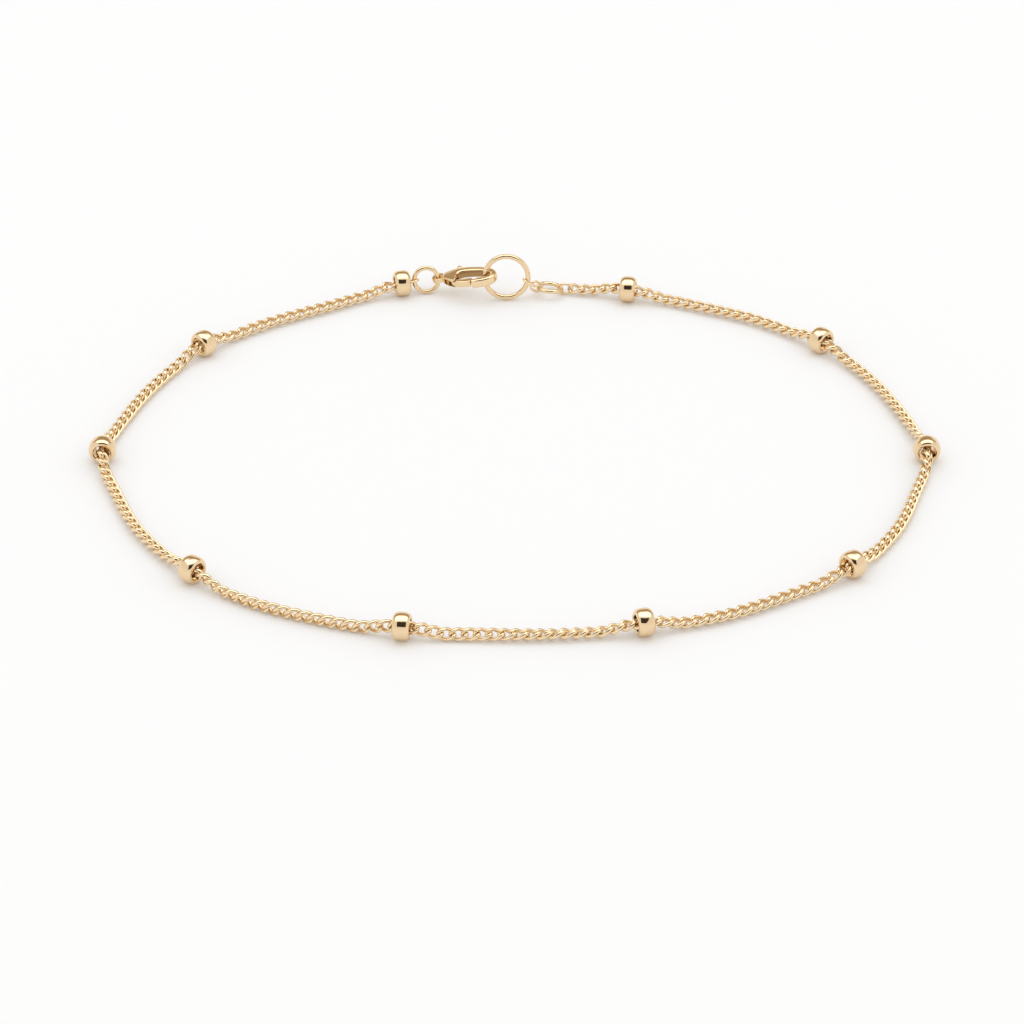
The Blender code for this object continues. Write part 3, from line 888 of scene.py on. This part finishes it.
def add_chain_end_links(route, gold):
    """The links that tie the chain's two ends to the small rings beside the clasp."""
    ends = (
        (1, "small_ring_left", 180, route.point(route.beads[0][0])),
        (4, "small_ring_right", 0, route.point(route.length)),
    )
    for number, ring, degrees, target in ends:
        wire, along = on_ring(ring, degrees)
        towards = target - wire
        held = wire - towards.normalized() * (SMALL_RING[1] / 2 + END_LINK_PLAY)
        add_end_link(number, held, towards, along, gold)


def add_middle_end_links(gold):
    """Two links, square to each other, from the large ring to the small ring beside it."""
    large_wire, large_along = on_ring("large_ring", LINK_ON_LARGE_RING)
    small_wire, _ = on_ring("small_ring_right", LINK_ON_SMALL_RING)
    across = small_wire - large_wire
    ahead = across.normalized()
    opening = END_LINK_LENGTH - 2 * END_LINK_WIRE
    play = (2 * opening - LARGE_RING[1] / 2 - SMALL_RING[1] / 2 - across.length) / 3
    first = large_wire - ahead * (LARGE_RING[1] / 2 + play)
    second = first + ahead * (opening - play)
    add_end_link(2, first, ahead, large_along, gold)
    add_end_link(3, second, ahead, ahead.cross(large_along), gold)


# Clasp


def clasp_frame():
    """The clasp hangs between two rings: its eye on the left ring, its hook round the large ring's wire."""
    eye, _ = on_ring("small_ring_left", EYE_ON_SMALL_RING)
    wire, _ = on_ring("large_ring", 180)
    ahead = (wire - eye).normalized()
    level = Vector((-ahead.y, ahead.x, 0.0)).normalized()
    tilt = math.radians(CLASP_TILT)
    side = level * math.cos(tilt) + ahead.cross(level) * math.sin(tilt)
    there = Matrix((ahead, side, ahead.cross(side))).transposed().to_4x4()
    there.translation = wire - ahead * RING_WIRE_FROM_EYE
    return there


def carry_edge(before, after):
    """Moves the picked edge, which joins the two points before, to join the two points after."""
    middle = (after[0] + after[1]) / 2
    old = before[1] - before[0]
    new = after[1] - after[0]
    turn = math.atan2(new.y, new.x) - math.atan2(old.y, old.x)
    bpy.ops.transform.translate(value=middle - (before[0] + before[1]) / 2)
    bpy.ops.transform.rotate(value=-turn, orient_axis="Z", center_override=middle)
    bpy.ops.transform.resize(value=(new.length / old.length,) * 3, center_override=middle)


def round_rims(edit, rounding, beyond=-1.0):
    """Rounds every edge that turns by about a right angle, or only those beyond that X."""

    def is_rim(edge):
        return edge.calc_face_angle(0) > RIM_ANGLE and min(vert.co.x for vert in edge.verts) > beyond

    edit.pick("edges", is_rim)
    bpy.ops.mesh.bevel(offset=rounding, segments=ROUNDING_STEPS, affect="EDGES", clamp_overlap=False)


def band_of_metal(name, rows, thickness, rounding, closed=False):
    """A band drawn along rows of two edge points, given its thickness, with all its rims rounded."""
    rows = [[Vector((x, y, 0.0)) * MM for x, y in row] for row in rows]
    if closed:
        rows.append(rows[0])
    select_only()
    bpy.ops.mesh.primitive_plane_add(size=MM)
    piece = just_added(name)
    settle(piece)
    corners = [Vector((x, y, 0.0)) * MM / 2 for x, y in ((-1, -1), (-1, 1), (1, -1), (1, 1))]
    with Editing(piece) as edit:
        edit.pick("verts", lambda vert: vert.index in (0, 2))
        carry_edge(corners[:2], rows[0])
        edit.pick("verts", lambda vert: vert.index in (1, 3))
        carry_edge(corners[2:], rows[1])
        bpy.ops.mesh.select_mode(type="EDGE")
        for before, after in zip(rows[1:], rows[2:]):
            bpy.ops.mesh.extrude_edges_move(TRANSFORM_OT_translate={"value": (0, 0, 0)})
            carry_edge(before, after)
        bpy.ops.mesh.select_all(action="SELECT")
        bpy.ops.mesh.remove_doubles(threshold=SAME_POINT)
        bpy.ops.transform.translate(value=(0, 0, -thickness / 2))
        bpy.ops.mesh.extrude_region_move(TRANSFORM_OT_translate={"value": (0, 0, thickness)})
        bpy.ops.mesh.select_all(action="SELECT")
        bpy.ops.mesh.normals_make_consistent(inside=False)
        round_rims(edit, rounding)
    return piece


def combine(target, operation, other):
    """Joins another piece to the target or cuts with it, for good, and removes that piece."""
    apply_modifier(target, "BOOLEAN", operation=operation, object=other)
    bpy.data.objects.remove(other)


def round_bar(name, x, y, z, radius, length, across="Z", rounding=0.0):
    """A round bar that stands through the clasp, or lies across it, with its rims rounded if wanted."""
    select_only()
    turn = (math.pi / 2, 0, 0) if across == "Y" else (0, 0, 0)
    bpy.ops.mesh.primitive_cylinder_add(
        vertices=BAR_SIDES, radius=radius, depth=length, location=(x, y, z), rotation=turn
    )
    bar = just_added(name)
    settle(bar)
    if rounding:
        with Editing(bar) as edit:
            round_rims(edit, rounding)
    return bar


def room(name, low, high):
    """A box to cut with, between two opposite corners."""
    select_only()
    middle = [(a + b) / 2 for a, b in zip(low, high)]
    bpy.ops.mesh.primitive_cube_add(size=1, location=middle, scale=[b - a for a, b in zip(low, high)])
    box = just_added(name)
    settle(box)
    return box


def finish_metal(piece):
    """Merges the specks that the cuts left and smooths the shading between the crisp edges.

    The faces are made triangles here. The export splits each many-sided face on its own, and two faces that
    share two corners can then be given the same diagonal.
    """
    with Editing(piece):
        bpy.ops.mesh.select_all(action="SELECT")
        bpy.ops.mesh.remove_doubles(threshold=SPECK)
        bpy.ops.mesh.normals_make_consistent(inside=False)
        bpy.ops.mesh.quads_convert_to_tris(quad_method="BEAUTY", ngon_method="BEAUTY")
    bpy.ops.object.shade_smooth_by_angle(angle=CLASP_CREASE)


def add_clasp_body(gold):
    """The claw: a closed band, cut open for the gate, with the eye joined on and the lever's slot cut in."""
    body = band_of_metal("lobster_body", CLAW_ROWS, CLASP_THICKNESS, CLASP_ROUNDING, closed=True)
    gate_gap = ((GATE_GAP_START, -CUT_REACH, -CUT_REACH), (GATE_GAP_END, GATE_GAP_SIDE, CUT_REACH))
    notch = ((NOTCH_START, NOTCH_OUTER, -SECOND_CUT_REACH), (NOTCH_END, NOTCH_INNER, SECOND_CUT_REACH))
    combine(body, "DIFFERENCE", room("gate_gap", *gate_gap))
    with Editing(body) as edit:
        round_rims(edit, TIP_ROUNDING, beyond=(GATE_GAP_START + GATE_GAP_END) / 2)
    combine(body, "DIFFERENCE", room("notch", *notch))
    combine(body, "UNION", round_bar("eye", 0, 0, 0, EYE_RADIUS, EYE_THICKNESS, rounding=EYE_ROUNDING))
    for side in (-1, 1):
        rise = side * (EYE_THICKNESS / 2 + EYE_SCOOP_RADIUS)
        scoop = round_bar("scoop", EYE_SCOOP_X, 0, rise, EYE_SCOOP_RADIUS, EYE_SCOOP_LENGTH, across="Y")
        combine(body, "DIFFERENCE", scoop)
    combine(body, "DIFFERENCE", round_bar("eye_hole", 0, 0, 0, EYE_HOLE_RADIUS, 2 * EYE_THICKNESS))
    half = SLOT_HEIGHT / 2
    slot = ((SLOT_START, -CUT_REACH, -half), (SLOT_END, CUT_REACH, half))
    slot_mouth = ((SLOT_MOUTH_START, -SECOND_CUT_REACH, -half), (SLOT_MOUTH_END, SLOT_MOUTH_SIDE, half))
    combine(body, "DIFFERENCE", room("slot", *slot))
    combine(body, "DIFFERENCE", room("slot_mouth", *slot_mouth))
    combine(body, "UNION", round_bar("rivet", HINGE_X, HINGE_Y, 0, HINGE_PIN_RADIUS, RIVET_LENGTH))
    finish_metal(body)
    settle(body, clasp_frame())
    place(body, gold, "clasp_gold", "bracelet", "clasp_body")


def add_clasp_lever(gold):
    """The lever: a hub on the rivet, the gate that closes the hook, and the stem with its thumb tab."""
    lever = round_bar("lobster_lever", HINGE_X, HINGE_Y, 0, HUB_RADIUS, LEVER_THICKNESS)
    tab_size = (THUMB_TAB_RADIUS, GATE_THICKNESS)
    additions = (
        band_of_metal("arm", ARM_ROWS, ARM_THICKNESS, LEVER_ROUNDING),
        band_of_metal("gate", GATE_ROWS, GATE_THICKNESS, GATE_ROUNDING),
        band_of_metal("tongue", TONGUE_ROWS, TONGUE_THICKNESS, LEVER_ROUNDING),
        band_of_metal("stem", STEM_ROWS, STEM_THICKNESS, LEVER_ROUNDING),
        round_bar("thumb_tab", THUMB_TAB_X, THUMB_TAB_Y, 0, *tab_size, rounding=THUMB_TAB_ROUNDING),
    )
    for piece in additions:
        combine(lever, "UNION", piece)
    bore = round_bar("bore", HINGE_X, HINGE_Y, 0, HINGE_PIN_RADIUS + HINGE_CLEARANCE, 2 * LEVER_THICKNESS)
    combine(lever, "DIFFERENCE", bore)
    finish_metal(lever)
    settle(lever, clasp_frame())
    place(lever, gold, "clasp_gold", "lever", "clasp_lever")


# Camera, floor and light


def add_camera():
    camera = bpy.data.cameras.new("camera")
    camera.lens = CAMERA_LENS
    camera.clip_start = CAMERA_SEES_FROM
    camera.clip_end = CAMERA_SEES_TO
    obj = bpy.data.objects.new("camera", camera)
    bpy.context.scene.collection.objects.link(obj)
    back = Vector((0.0, -math.cos(CAMERA_ELEVATION), math.sin(CAMERA_ELEVATION)))
    obj.location = CAMERA_TARGET + back * CAMERA_DISTANCE
    obj.rotation_euler = (math.pi / 2 - CAMERA_ELEVATION, 0.0, 0.0)
    bpy.context.scene.camera = obj


def add_floor():
    select_only()
    bpy.ops.mesh.primitive_plane_add(size=FLOOR_SIZE, location=(0, 0, -FLOOR_DROP))
    floor = just_added("pale_surface")
    settle(floor)
    material, sheet = new_material("pale_board")
    fibres = sheet.noise(sheet.over_object(), 0.4, 4.0)
    fibre_colour = tuple(share * FIBRE_SHADE for share in FLOOR_COLOUR)
    sheet.shine(
        Base_Color=sheet.mix(fibres, FLOOR_COLOUR, fibre_colour),
        Roughness=0.9,
        Specular_IOR_Level=0.2,
    )
    floor.data.materials.append(material)


def facing_centre(height, distance):
    """A place that far off in the camera's plane, that many degrees over the front horizon, facing back."""
    angle = math.radians(height)
    there = Matrix.Rotation(math.pi / 2 - angle, 4, "X")
    there.translation = Vector((0.0, -math.cos(angle), math.sin(angle))) * distance
    return there


def add_softbox():
    """The lamp overhead. The metal sees the brighter white sheet in its place."""
    height, distance, width, depth = SOFTBOX
    light = bpy.data.lights.new("softbox", "AREA")
    light.shape = "RECTANGLE"
    light.size = width
    light.size_y = depth
    light.color = SOFTBOX_COLOUR
    light.energy = SOFTBOX_RADIANCE * math.pi * width * depth
    softbox = bpy.data.objects.new("softbox", light)
    bpy.context.scene.collection.objects.link(softbox)
    softbox.matrix_world = facing_centre(height, distance)
    softbox.visible_camera = False
    softbox.visible_glossy = False


def add_card(name, numbers, colour):
    """A card or sheet of the studio that only the polished metal sees."""
    height, distance, width, depth = numbers
    select_only()
    bpy.ops.mesh.primitive_plane_add(size=1.0)
    card = just_added(name)
    settle(card, facing_centre(height, distance) @ Matrix.Diagonal((width, depth, 1.0, 1.0)))
    material, sheet = new_material(f"{name}_cloth")
    sheet.shine(
        Base_Color=(0.0, 0.0, 0.0, 1.0),
        Roughness=1.0,
        Specular_IOR_Level=0.0,
        Emission_Color=(*colour, 1.0),
        Emission_Strength=1.0,
    )
    card.data.materials.append(material)
    card.visible_camera = False
    card.visible_diffuse = False
    card.visible_shadow = False
    card.visible_transmission = False


def light_room():
    """The tent's soft light from all round, a little weaker overhead."""
    world = bpy.data.worlds.new("studio_room")
    bpy.context.scene.world = world
    sheet = Sheet(world)
    direction = sheet.add("ShaderNodeTexCoord", {}, {}, "Generated")
    height = sheet.add("ShaderNodeSeparateXYZ", {}, {"Vector": direction}, "Z")
    stops = [(at, tuple(level * share for share in ROOM_TINT)) for at, level in ROOM_LEVELS]
    brightness = sheet.add("ShaderNodeValToRGB", {"stops": stops}, {"Fac": height})
    sheet.feed(sheet.tree.nodes["Background"], {"Color": brightness, "Strength": 1.0})
    bpy.context.scene.view_settings.view_transform = "Standard"


add_camera()
add_floor()
light_room()
add_softbox()
add_card("white_sheet", SOFTBOX, SHEET_COLOUR)
add_card("dark_card", DARK_CARD, DARK_CARD_COLOUR)
add_card("back_card", BACK_CARD, BACK_CARD_COLOUR)
route = Route(ROUTE)
wire_gold = chain_gold()
add_chain(route, wire_gold)
add_beads(route, bead_gold())
add_chain_end_links(route, wire_gold)
add_middle_end_links(wire_gold)
ring_gold = clasp_gold("tumbled_gold", with_painted_hook_shade=False)
add_ring("small_ring_left", 70, ring_gold)
add_ring("large_ring", 30, ring_gold)
add_ring("small_ring_right", 20, ring_gold)
# The clasp's gold, with painted shade inside the hook
clasp_gold_painted_shade = clasp_gold("tumbled_gold_painted_hook_shade", with_painted_hook_shade=True)
add_clasp_body(clasp_gold_painted_shade)
add_clasp_lever(clasp_gold_painted_shade)
